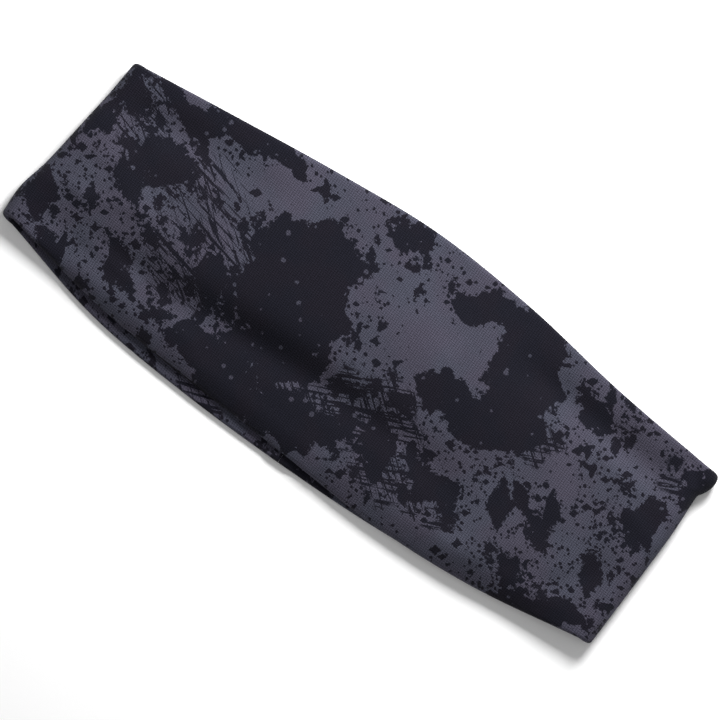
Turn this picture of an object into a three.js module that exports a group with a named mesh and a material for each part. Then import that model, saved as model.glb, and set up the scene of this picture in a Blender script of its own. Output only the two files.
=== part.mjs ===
// A wide sports headband: a loop of stretch knit lying flat, its front half on top of its back half.
// Millimetres, +Z up. The origin is the middle of the footprint, on the surface that the band lies on.
// +X runs along the band, +Y across it towards the edge that the back half hides behind.
import * as THREE from "three";

// ---- The laid-flat loop ----
const HALF_LENGTH = 118; // from the centre back to the middle of each end fold
const FOLD_HEIGHT = 9; // outside, over an end fold
const FRONT_HEIGHT = 12; // top of the front half, halfway along
const FRONT_RISE_RUN = 60; // how far in from an end fold the front half is still rising

// Each long edge, as its distance from the centre line at even stations from the left fold to the right.
const FRONT_UPPER_EDGE = [35, 39.3, 43.2, 45.7, 43.2, 37.7, 34.0];
const FRONT_LOWER_EDGE = [-30.7, -38.5, -41.2, -43.2, -44.5, -42.3, -35.9];
const BACK_UPPER_EDGE = [34.2, 37, 39.1, 40.3, 39.3, 36.3, 33.5];
const BACK_LOWER_EDGE = [-31.9, -41.3, -44.8, -45.7, -44.9, -41.5, -35.5];

// How far each end fold stands past HALF_LENGTH, from the lower edge to the upper edge.
const LEFT_FOLD_REACH = [2.7, 2.9, 0.5, -1, -2.4, -3.7, -4.6];
const RIGHT_FOLD_REACH = [-0.3, 0.1, 0.5, 0.8, 1, 0.6, 0.6];
const RIGHT_CORNER_REACH = 2.6; // the soft corner that is pulled out at the upper right
const RIGHT_CORNER_SHARE = 0.955; // where it stands furthest out, as a share of the band's width
const RIGHT_CORNER_SPREAD = 0.09; // its half width, likewise

// ---- Fabric ----
const SHELL_THICKNESS = 0.6;
const LINING_THICKNESS = 0.6;
const PLY_GAP = 0.3; // between pieces that touch
const FLANGE_WIDTH = 7; // of the shell, turned inside along each long edge
const LINING_TUCK = 3.5; // of the lining, held under each flange

// ---- Sewing ----
const EDGE_THREAD_WIDTH = 1.6;
const SEAM_SLIT = 0.4; // between the two ends of a strip, at the centre back
const BACK_THREAD_WIDTH = 4.4;
const BACK_THREAD_THICKNESS = 0.35;
const RECESS_RAMP = 4; // from the pressed seam down to the flat back half
const BARTACK_WIDTH = 3.2;

// ---- Care label ----
const LABEL_LENGTH = 22; // folded, from the sewn edge to the fold
const LABEL_WIDTH = 16;
const LABEL_THICKNESS = 0.6; // both plies
const LABEL_STITCH_DIAMETER = 0.6;

// ---- Facets ----
const FOLD_STEPS = 8; // in each half turn of an end fold
const ROLL_STEPS = 4; // in each half turn of a rolled long edge
const BACK_STEPS = 6; // along each side of the back half
const FRONT_STEPS = 16;
const MIDDLE_SHARES = [0.18, 0.34, 0.5, 0.66, 0.82]; // of the width, between the seams

// Depths are measured inwards from the shell's outer face, anywhere round the loop.
const LINING_DEPTH = SHELL_THICKNESS + PLY_GAP;
const LINING_FACE = LINING_DEPTH + LINING_THICKNESS;
const FLANGE_DEPTH = LINING_FACE + PLY_GAP;
const WALL_DEPTH = FLANGE_DEPTH + SHELL_THICKNESS;
const ROLL_RADIUS = WALL_DEPTH / 2;
const FOLD_RADIUS = FOLD_HEIGHT / 2;
const STRAIGHT_LENGTH = HALF_LENGTH - FOLD_RADIUS;
const LINING_INSET = FLANGE_WIDTH - LINING_TUCK;
const EDGE_THREAD_INSET = FLANGE_WIDTH + PLY_GAP;
const EDGE_THREAD_END = EDGE_THREAD_INSET + EDGE_THREAD_WIDTH;
const BACK_THREAD_INSET = EDGE_THREAD_END + PLY_GAP;
const INNER_THREAD_DEPTH = LINING_FACE + PLY_GAP + BACK_THREAD_THICKNESS / 2;
const SEAM_RECESS = BACK_THREAD_THICKNESS + PLY_GAP;
const RECESS_HALF_WIDTH = BACK_THREAD_WIDTH / 2 + PLY_GAP;

// A smooth curve through even stations of a parameter that runs from first to last.
function curveThrough(values, first, last) {
  const step = (last - first) / (values.length - 1);
  const stations = values.map((_, index) => first + index * step);
  const curve = new THREE.CubicInterpolant(stations, values, 1);
  return (at) => curve.evaluate(at)[0];
}

const frontUpper = curveThrough(FRONT_UPPER_EDGE, -1, 1);
const frontLower = curveThrough(FRONT_LOWER_EDGE, -1, 1);
const backUpper = curveThrough(BACK_UPPER_EDGE, -1, 1);
const backLower = curveThrough(BACK_LOWER_EDGE, -1, 1);
const leftReach = curveThrough(LEFT_FOLD_REACH, 0, 1);
const rightReach = curveThrough(RIGHT_FOLD_REACH, 0, 1);

// The distance from the centre back to an end fold, at a share of the width.
function endDistance(side, share) {
  if (side < 0) return HALF_LENGTH + leftReach(share);
  const fromCorner = (share - RIGHT_CORNER_SHARE) / RIGHT_CORNER_SPREAD;
  const corner = RIGHT_CORNER_REACH * Math.max(0, 1 - fromCorner ** 2);
  return HALF_LENGTH + rightReach(share) + corner;
}

// How far the back half is pressed up over its cross seam.
function seamLift(distance) {
  const past = (Math.abs(distance) - RECESS_HALF_WIDTH) / RECESS_RAMP;
  return SEAM_RECESS * (1 - THREE.MathUtils.smoothstep(past, 0, 1));
}

// How far the front half stands over the end folds.
function frontLift(distance) {
  const inside = STRAIGHT_LENGTH - Math.abs(distance);
  return (FRONT_HEIGHT - FOLD_HEIGHT) * THREE.MathUtils.smoothstep(inside, 0, FRONT_RISE_RUN);
}

// A station on the loop is a distance along it from the centre back, up to the start of an end fold,
// and a turn that grows from 0 on the back half to half a circle on the front half.
const backStation = (distance) => ({ distance, turn: 0 });
const frontStation = (distance) => ({ distance, turn: Math.PI });
const foldStation = (side, turn) => ({ distance: side * STRAIGHT_LENGTH, turn });

// The point at a station, a share of the width plus an offset, and a depth.
function place(station, share, offset, depth) {
  const { distance, turn } = station;
  const along = distance / STRAIGHT_LENGTH;
  const towardsFront = (1 - Math.cos(turn)) / 2;
  const low = THREE.MathUtils.lerp(backLower(along), frontLower(along), towardsFront);
  const high = THREE.MathUtils.lerp(backUpper(along), frontUpper(along), towardsFront);
  const y = THREE.MathUtils.lerp(low, high, share) + offset;
  const widthShare = THREE.MathUtils.clamp((y - low) / (high - low), 0, 1);
  const side = distance < 0 ? -1 : 1;
  const stretch = (endDistance(side, widthShare) - FOLD_RADIUS) / STRAIGHT_LENGTH;
  const radius = FOLD_RADIUS - depth;
  const lift = turn < Math.PI / 2 ? seamLift(distance) : frontLift(distance);
  return new THREE.Vector3(
    distance * stretch + side * radius * Math.sin(turn),
    y,
    FOLD_RADIUS - radius * Math.cos(turn) + lift,
  );
}

// Even values from first to last, both included.
function evenly(first, last, steps) {
  return Array.from({ length: steps + 1 }, (_, index) => first + ((last - first) * index) / steps);
}

// The back half on the +X side, from one cut end of a strip to the end fold.
const RAMP_END = RECESS_HALF_WIDTH + RECESS_RAMP;
const BACK_DISTANCES = [
  SEAM_SLIT / 2,
  RECESS_HALF_WIDTH,
  RECESS_HALF_WIDTH + RECESS_RAMP / 2,
  ...evenly(RAMP_END, STRAIGHT_LENGTH, BACK_STEPS),
];
const FOLD_TURNS = evenly(0, Math.PI, FOLD_STEPS).slice(1, -1);

// Once round the loop, starting and ending at the cross seam.
const LOOP = [
  ...BACK_DISTANCES.map((distance) => backStation(distance)),
  ...FOLD_TURNS.map((turn) => foldStation(1, turn)),
  ...evenly(STRAIGHT_LENGTH, -STRAIGHT_LENGTH, FRONT_STEPS).map((distance) => frontStation(distance)),
  ...FOLD_TURNS.toReversed().map((turn) => foldStation(-1, turn)),
  ...BACK_DISTANCES.toReversed().map((distance) => backStation(-distance)),
];

// A rib is one point of a strip's section: where its middle layer lies, and which way its thickness goes
// from the printed face to the inner one.
const flatRib = (share, offset, depth) => ({ share, offset, depth, sideways: 0, inward: 1 });

// One long edge of the shell, from the outer face round to the raw edge inside, for the edge at a share.
function rolledEdge(share) {
  const towardsMiddle = share === 0 ? 1 : -1;
  const middleRadius = ROLL_RADIUS - SHELL_THICKNESS / 2;
  const roll = evenly(0, Math.PI, ROLL_STEPS).map((turn) => ({
    share,
    offset: towardsMiddle * (ROLL_RADIUS - middleRadius * Math.sin(turn)),
    depth: ROLL_RADIUS - middleRadius * Math.cos(turn),
    sideways: towardsMiddle * Math.sin(turn),
    inward: Math.cos(turn),
  }));
  const rawEdge = {
    ...roll[ROLL_STEPS],
    offset: towardsMiddle * FLANGE_WIDTH,
  };
  return [...roll, rawEdge];
}

// A strip of constant thickness: a flat box whose grid is carried onto ribs and stations.
function bentStrip(ribs, thickness, stations) {
  const across = ribs.length - 1;
  const along = stations.length - 1;
  const strip = new THREE.BoxGeometry(across, thickness, along, across, 1, along);
  const corners = strip.getAttribute("position");
  for (let index = 0; index < corners.count; index += 1) {
    const rib = ribs[Math.round(corners.getX(index) + across / 2)];
    const station = stations[Math.round(corners.getZ(index) + along / 2)];
    const through = corners.getY(index);
    const offset = rib.offset + through * rib.sideways;
    const point = place(station, rib.share, offset, rib.depth + through * rib.inward);
    corners.setXYZ(index, point.x, point.y, point.z);
  }
  strip.computeVertexNormals();
  return strip;
}

const knit = (color) => new THREE.MeshStandardMaterial({ color, roughness: 0.85, metalness: 0 });
const thread = () => new THREE.MeshStandardMaterial({ color: 0x24232b, roughness: 0.7, metalness: 0 });

function named(name, geometry, material) {
  const mesh = new THREE.Mesh(geometry, material);
  mesh.name = name;
  return mesh;
}

// A ply from one long edge to the other, with a rib over each line of the edge seams.
function ply(depth) {
  const insets = [LINING_INSET, EDGE_THREAD_INSET, EDGE_THREAD_END];
  return [
    ...insets.map((inset) => flatRib(0, inset, depth)),
    ...MIDDLE_SHARES.map((share) => flatRib(share, 0, depth)),
    ...insets.toReversed().map((inset) => flatRib(1, -inset, depth)),
  ];
}

// The printed knit: one strip with its long edges turned in, and its ends brought together at the back.
function outerShell() {
  const outerPly = ply(SHELL_THICKNESS / 2);
  const ribs = [...rolledEdge(0).toReversed(), ...outerPly, ...rolledEdge(1)];
  return named("outer_shell", bentStrip(ribs, SHELL_THICKNESS, LOOP), knit(0x3d3c47));
}

// The plain wicking knit against the skin, with its long edges under the shell's flanges.
function innerLining() {
  const ribs = ply(LINING_DEPTH + LINING_THICKNESS / 2);
  return named("inner_lining", bentStrip(ribs, LINING_THICKNESS, LOOP), knit(0x1d1c22));
}

// The flat stitching that holds a flange's raw edge down on the lining, all round the loop.
function edgeThread(name, share) {
  const towardsMiddle = share === 0 ? 1 : -1;
  const depth = FLANGE_DEPTH + SHELL_THICKNESS / 2;
  const insets = [EDGE_THREAD_INSET, EDGE_THREAD_END];
  const ribs = insets.map((inset) => flatRib(share, towardsMiddle * inset, depth));
  if (share === 1) ribs.reverse();
  return named(name, bentStrip(ribs, SHELL_THICKNESS, LOOP), thread());
}

// Stitching that crosses the centre back seam at a depth, between two insets from the long edges.
function crossThread(name, ribs, width) {
  const stations = [-width / 2, width / 2].map((distance) => backStation(distance));
  return named(name, bentStrip(ribs, BACK_THREAD_THICKNESS, stations), thread());
}

function backSeamThread(name, inset, depth) {
  const ribs = [
    flatRib(0, inset, depth),
    ...MIDDLE_SHARES.map((share) => flatRib(share, 0, depth)),
    flatRib(1, -inset, depth),
  ];
  return crossThread(name, ribs, BACK_THREAD_WIDTH);
}

// Over the two cut ends, outside and inside.
const outerBackThread = () =>
  backSeamThread("outer_back_seam_thread", ROLL_RADIUS, -PLY_GAP - BACK_THREAD_THICKNESS / 2);
const innerBackThread = () =>
  backSeamThread("inner_back_seam_thread", BACK_THREAD_INSET, INNER_THREAD_DEPTH);

// A short dense tack that locks the end of an edge seam over the cross seam.
function bartack(name, share) {
  const towardsMiddle = share === 0 ? 1 : -1;
  const depth = WALL_DEPTH + PLY_GAP + BACK_THREAD_THICKNESS / 2;
  const insets = [ROLL_RADIUS, EDGE_THREAD_END];
  const ribs = insets.map((inset) => flatRib(share, towardsMiddle * inset, depth));
  if (share === 1) ribs.reverse();
  return crossThread(name, ribs, BARTACK_WIDTH);
}

// The folded label's section, from its sewn edge on the pivot to its rounded fold.
function careLabel() {
  const half = LABEL_THICKNESS / 2;
  const section = new THREE.Shape();
  section.moveTo(0, -half);
  section.lineTo(LABEL_LENGTH - half, -half);
  section.absarc(LABEL_LENGTH - half, 0, half, -Math.PI / 2, Math.PI / 2, false);
  section.lineTo(0, half);
  section.closePath();
  const geometry = new THREE.ExtrudeGeometry(section, {
    depth: LABEL_WIDTH,
    bevelEnabled: false,
    curveSegments: 4,
  });
  geometry.rotateX(Math.PI / 2);
  geometry.translate(0, LABEL_WIDTH / 2, 0);
  const satin = new THREE.MeshStandardMaterial({ color: 0xd9d7d2, roughness: 0.45, metalness: 0 });
  return named("care_label", geometry, satin);
}

// The stitches along the label's sewn edge.
function careLabelStitch() {
  const radius = LABEL_STITCH_DIAMETER / 2;
  const bead = new THREE.CapsuleGeometry(radius, LABEL_WIDTH - 2 * radius, 3, 8);
  return named("care_label_stitch", bead, thread());
}

// The label lies on the lining of the back half, beside the pressed cross seam.
const stitchX = RAMP_END + PLY_GAP + LABEL_STITCH_DIAMETER / 2;
const labelStitch = careLabelStitch();
labelStitch.position.set(stitchX, 0, LINING_FACE + PLY_GAP + LABEL_STITCH_DIAMETER / 2);

const labelPivot = new THREE.Group();
const pivotX = stitchX + LABEL_STITCH_DIAMETER / 2 + PLY_GAP;
labelPivot.position.set(pivotX, 0, LINING_FACE + PLY_GAP + LABEL_THICKNESS / 2);
labelPivot.add(careLabel());

const headband = new THREE.Group();
headband.add(
  outerShell(),
  innerLining(),
  edgeThread("lower_edge_seam_thread", 0),
  edgeThread("upper_edge_seam_thread", 1),
  outerBackThread(),
  innerBackThread(),
  bartack("lower_bartack", 0),
  bartack("upper_bartack", 1),
  labelStitch,
  labelPivot,
);

export default headband;
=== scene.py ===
import math

import bpy
import numpy as np
from bpy.props import FloatProperty, FloatVectorProperty, IntProperty, PointerProperty
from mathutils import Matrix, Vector


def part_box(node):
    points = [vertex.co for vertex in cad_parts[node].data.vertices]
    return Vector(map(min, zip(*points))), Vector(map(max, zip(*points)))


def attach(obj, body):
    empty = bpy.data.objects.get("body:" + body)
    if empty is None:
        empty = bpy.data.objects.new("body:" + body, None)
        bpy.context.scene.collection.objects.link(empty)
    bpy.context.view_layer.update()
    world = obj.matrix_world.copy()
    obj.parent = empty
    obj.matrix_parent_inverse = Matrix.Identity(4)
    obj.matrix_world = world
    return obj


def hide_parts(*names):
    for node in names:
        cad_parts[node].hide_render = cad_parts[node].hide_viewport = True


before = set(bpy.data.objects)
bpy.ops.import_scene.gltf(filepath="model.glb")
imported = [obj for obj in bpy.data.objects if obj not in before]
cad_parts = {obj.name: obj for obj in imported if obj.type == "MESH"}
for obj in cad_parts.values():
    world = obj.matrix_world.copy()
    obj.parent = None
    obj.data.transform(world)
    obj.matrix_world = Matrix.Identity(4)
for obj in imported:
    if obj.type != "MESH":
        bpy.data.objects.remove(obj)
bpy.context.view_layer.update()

bl_info = {
    "name": "Sports headband",
    "version": (1, 0, 0),
    "blender": (4, 5, 0),
    "location": "3D View > Sidebar > Headband",
    "description": "Builds a printed knit headband that lies flat, with its lining, seams and label",
    "category": "Add Mesh",
}

MM = 0.001

# ---- Places that the frame gives ----
FRONT_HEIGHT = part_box("outer_shell")[1].z
LINING_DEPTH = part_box("inner_lining")[0].z
FLANGE_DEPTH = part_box("lower_edge_seam_thread")[0].z
BACK_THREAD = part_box("outer_back_seam_thread")
INNER_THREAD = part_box("inner_back_seam_thread")
LABEL_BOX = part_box("care_label")
LABEL_STITCH_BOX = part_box("care_label_stitch")


def millimetres(*values):
    return tuple(value * MM for value in values)


# ---- Settings ----
class BandShape(bpy.types.PropertyGroup):
    """The band's outline as it lies, and the soft folds of its front half."""

    half_length: FloatProperty(
        name="Half length", description="From the centre back to the middle of each end fold",
        default=118 * MM, unit="LENGTH",
    )
    fold_height: FloatProperty(
        name="Fold height", description="Outside height over an end fold",
        default=9 * MM, unit="LENGTH",
    )
    front_rise_run: FloatProperty(
        name="Front rise run", description="How far in from an end fold the front half still rises",
        default=60 * MM, unit="LENGTH",
    )
    front_upper_edge: FloatVectorProperty(
        name="Front upper edge", description="Its distance from the centre line at even stations",
        size=7, unit="LENGTH", default=millimetres(35.0, 39.3, 43.2, 45.7, 43.2, 37.7, 34.0),
    )
    front_lower_edge: FloatVectorProperty(
        name="Front lower edge", description="Its distance from the centre line at even stations",
        size=7, unit="LENGTH", default=millimetres(-30.2, -37.5, -40.1, -42.4, -44.4, -42.3, -35.9),
    )
    back_upper_edge: FloatVectorProperty(
        name="Back upper edge", description="Its distance from the centre line at even stations",
        size=7, unit="LENGTH", default=millimetres(34.2, 37.0, 39.1, 40.3, 39.3, 36.3, 33.5),
    )
    back_lower_edge: FloatVectorProperty(
        name="Back lower edge", description="Its distance from the centre line at even stations",
        size=7, unit="LENGTH", default=millimetres(-31.9, -41.3, -44.8, -45.7, -44.9, -41.5, -35.5),
    )
    left_reach: FloatVectorProperty(
        name="Left fold reach", description="Past the half length, from the lower edge to the upper",
        size=7, unit="LENGTH", default=millimetres(2.7, 2.9, 0.5, -1.0, -2.4, -3.7, -4.6),
    )
    right_reach: FloatVectorProperty(
        name="Right fold reach", description="Past the half length, from the lower edge to the upper",
        size=7, unit="LENGTH", default=millimetres(-0.3, 0.1, 0.5, 0.8, 1.0, 0.6, 0.6),
    )
    corner_reach: FloatProperty(
        name="Corner reach", description="How far the upper right corner is pulled out",
        default=2.6 * MM, unit="LENGTH",
    )
    front_slack: FloatProperty(
        name="Front slack", description="How far the front half lies below its full height before its folds",
        default=1.3 * MM, unit="LENGTH",
    )
    edge_droop: FloatProperty(
        name="Edge droop", description="How far the front half's lower edge hangs below its middle",
        default=3.2 * MM, unit="LENGTH",
    )


class BandCloth(bpy.types.PropertyGroup):
    """The two knits and the print."""

    shell_thickness: FloatProperty(
        name="Shell thickness", description="Thickness of the printed knit",
        default=0.6 * MM, unit="LENGTH",
    )
    lining_thickness: FloatProperty(
        name="Lining thickness", description="Thickness of the lining knit",
        default=0.6 * MM, unit="LENGTH",
    )
    flange_width: FloatProperty(
        name="Flange width", description="How much shell is turned in along each long edge",
        default=7 * MM, unit="LENGTH",
    )
    lining_tuck: FloatProperty(
        name="Lining tuck", description="How much lining lies under each flange",
        default=3.5 * MM, unit="LENGTH",
    )
    grid: FloatProperty(
        name="Grid", description="Spacing of the shell's surface points",
        default=1.15 * MM, unit="LENGTH",
    )
    slate: FloatVectorProperty(
        name="Slate", description="The print's pale ground", subtype="COLOR",
        size=3, min=0, max=1, default=(0.0490, 0.0485, 0.0668),
    )
    ink: FloatVectorProperty(
        name="Ink", description="The print's dark splatter", subtype="COLOR",
        size=3, min=0, max=1, default=(0.0083, 0.0083, 0.0134),
    )
    lining: FloatVectorProperty(
        name="Lining", description="The plain lining knit", subtype="COLOR",
        size=3, min=0, max=1, default=(0.018, 0.017, 0.022),
    )


class BandSewing(bpy.types.PropertyGroup):
    """Thread and stitches."""

    thread_diameter: FloatProperty(
        name="Thread diameter", description="Of every sewing thread",
        default=0.34 * MM, unit="LENGTH",
    )
    edge_pitch: FloatProperty(
        name="Edge stitch pitch", description="From one edge seam stitch to the next",
        default=2.6 * MM, unit="LENGTH",
    )
    back_pitch: FloatProperty(
        name="Back stitch pitch", description="From one flatlock stitch to the next",
        default=1.9 * MM, unit="LENGTH",
    )
    sides: IntProperty(name="Thread sides", description="Of a thread's section", default=6, min=3)
    thread: FloatVectorProperty(
        name="Thread", description="Colour of every thread", subtype="COLOR",
        size=3, min=0, max=1, default=(0.022, 0.021, 0.027),
    )
    label: FloatVectorProperty(
        name="Label", description="Colour of the blank satin label", subtype="COLOR",
        size=3, min=0, max=1, default=(0.46, 0.45, 0.43),
    )


class StudioStage(bpy.types.PropertyGroup):
    """Camera, floor and lights."""

    camera_height: FloatProperty(
        name="Camera height", description="Above the floor", default=1.313, unit="LENGTH",
    )
    lens: FloatProperty(name="Lens", description="Focal length", default=200.0, subtype="DISTANCE_CAMERA")
    camera_roll: FloatProperty(
        name="Camera roll", description="Of the picture against the band's length",
        default=math.radians(35.1), subtype="ANGLE",
    )
    key_power: FloatProperty(
        name="Key power", description="Of the soft box over the upper edge", default=4.2,
    )
    world_strength: FloatProperty(
        name="World strength", description="Of the room overhead", default=0.23,
    )
    horizon_strength: FloatProperty(
        name="Horizon strength", description="Of the room's walls", default=0.76,
    )


def settings(name):
    return getattr(bpy.context.scene, name)


# ---- The loop as a surface ----
def smooth_curve(values, first, last):
    """A curve through even stations from first to last: between two stations it is the cubic that has
    their values and the slopes of the chords round each of them."""
    values = np.asarray(values, float)
    slopes = np.gradient(values)

    def at(where):
        steps = np.clip((np.asarray(where, float) - first) / (last - first), 0, 1) * (len(values) - 1)
        left = np.minimum(steps.astype(int), len(values) - 2)
        part = steps - left
        return (
            (1 + 2 * part) * (1 - part) ** 2 * values[left]
            + part * (1 - part) ** 2 * slopes[left]
            + part**2 * (3 - 2 * part) * values[left + 1]
            - part**2 * (1 - part) * slopes[left + 1]
        )

    return at


def smooth_step(value, low=0.0, high=1.0):
    """0 below low, 1 above high, and the cubic with level ends between them."""
    part = np.clip((value - low) / (high - low), 0, 1)
    return part * part * (3 - 2 * part)


def mix(a, b, share):
    return a + (b - a) * share


# Folds that run along the front half, in millimetres. Each is a line given at even stations from one x to
# another, its height at those stations, and its width across. A step rises towards +Y; a valley or a ridge
# fades both ways.
LONG_FOLDS = (
    # kind, x first, x last, width, y of the line, height at the same stations
    ("step", -118, 66, 5.6, (-18, -16.5, -15, -12, -11, -11, -18), (0.8, 1.4, 2.2, 2.9, 2.4, 1.7, 0.4)),
    ("valley", -118, 66, 5.4, (-24, -22, -21, -19, -18, -18, -24), (0.4, 0.9, 1.1, 1.4, 1.1, 0.9, 0.2)),
    ("valley", 40, 121, 6.0, (28, 26, 24.5, 23, 22.5), (0.0, 2.0, 2.6, 2.3, 1.4)),
    ("valley", -119, -40, 6.5, (21, 22.5, 24.5, 26, 28), (1.6, 2.3, 2.0, 1.2, 0.0)),
    ("ridge", -112, 118, 4.0, (-31.5, -33, -35, -36.5, -36, -34, -29.5), (0.6, 0.9, 0.7, 0.5, 0.6, 0.6, 0.4)),
    ("ridge", -20, 90, 12.0, (8, 14, 12, 6, 2), (0.0, 0.8, 1.0, 0.6, 0.0)),
    ("valley", 0, 116, 7.0, (-4, -6, -10, -14, -17), (0.0, 0.4, 0.5, 0.5, 0.4)),
    ("ridge", -112, -48, 6.0, (4, 0, -4, -8, -10), (0.6, 0.9, 1.0, 0.7, 0.0)),
)
# Short creases: from one point to another, their height, and their width.
SHORT_FOLDS = (
    ((110.0, 34.0), (118.5, 24.6), -1.7, 1.5),
    ((-121.0, -15.0), (-103.0, -9.0), 0.8, 2.6),
    ((-104.0, -12.0), (-82.0, -3.0), 0.7, 3.0),
    ((-116.0, -3.0), (-98.0, 1.0), -0.6, 3.0),
    ((-114.0, 20.0), (-94.0, 12.0), -0.8, 3.4),
    ((-96.0, -21.0), (-70.0, -25.0), 0.7, 2.8),
    ((-64.0, -27.0), (-44.0, -30.0), 0.6, 3.0),
    ((-70.0, 10.0), (-54.0, 2.0), 0.5, 4.0),
    ((92.0, -30.0), (114.0, -8.0), -0.7, 4.0),
    ((60.0, -38.0), (84.0, -22.0), 0.6, 4.5),
    ((100.0, 8.0), (118.0, 2.0), 0.7, 3.2),
    ((84.0, 18.0), (104.0, 14.0), 0.6, 3.4),
)


# A long fold fades in and out within this distance of its two ends.
LONG_FOLD_FADE = 8


def front_folds(x, y):
    """Height that the folds add to the front half, in millimetres, at x and y in millimetres."""
    height = np.zeros(np.broadcast(x, y).shape)
    for kind, first, last, width, lines, heights in LONG_FOLDS:
        away = (y - smooth_curve(lines, first, last)(x)) / width
        strength = smooth_curve(heights, first, last)(x)
        near, far = (np.array((-LONG_FOLD_FADE, LONG_FOLD_FADE)) + end for end in (first, -last))
        fade = smooth_step(x, *near) * smooth_step(-x, *far)
        if kind == "step":
            height = height + strength * fade * np.tanh(away)
        else:
            sign = -1 if kind == "valley" else 1
            height = height + sign * strength * fade * np.exp(-away * away)
    for start, end, strength, width in SHORT_FOLDS:
        run = np.subtract(end, start)
        length = np.hypot(*run)
        along = ((x - start[0]) * run[0] + (y - start[1]) * run[1]) / length
        aside = ((x - start[0]) * run[1] - (y - start[1]) * run[0]) / length
        fade = smooth_step(along, -width, width) * smooth_step(length - along, -width, width)
        height = height + strength * fade * np.exp(-((aside / width) ** 2))
    return height


# The pulled-out corner: its middle as a share of the width, and how far it reaches to either side of that.
CORNER_SHARE = 0.955
CORNER_SPREAD = 0.09
# The front half's droop dies away from each long edge over these runs, and is slight along the upper one.
LOW_DROOP_RUN = 7 * MM
HIGH_DROOP_RUN = 6 * MM
HIGH_DROOP_SHARE = 0.08
# Folds keep this share of their height over an end fold, and have all of it this far in.
FOLD_ROOM = 0.35
FOLD_ROOM_RUN = 12 * MM
# The back half comes down from the seam's recess over this run.
RECESS_RUN = 4 * MM
# The front's lower edge rests this far above the back half, and higher over the seam, within these distances
# past the recess. It begins to rest, and rests in full, these distances in from an end fold, and what brings
# it down dies away across the band over the last run.
REST_GAP = 0.1 * MM
SEAM_RISE = 1.7 * MM
SEAM_RISE_RUN = (2 * MM, 12 * MM)
SETTLE_RUN = (6 * MM, 34 * MM)
SETTLE_FADE = 5 * MM


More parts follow.
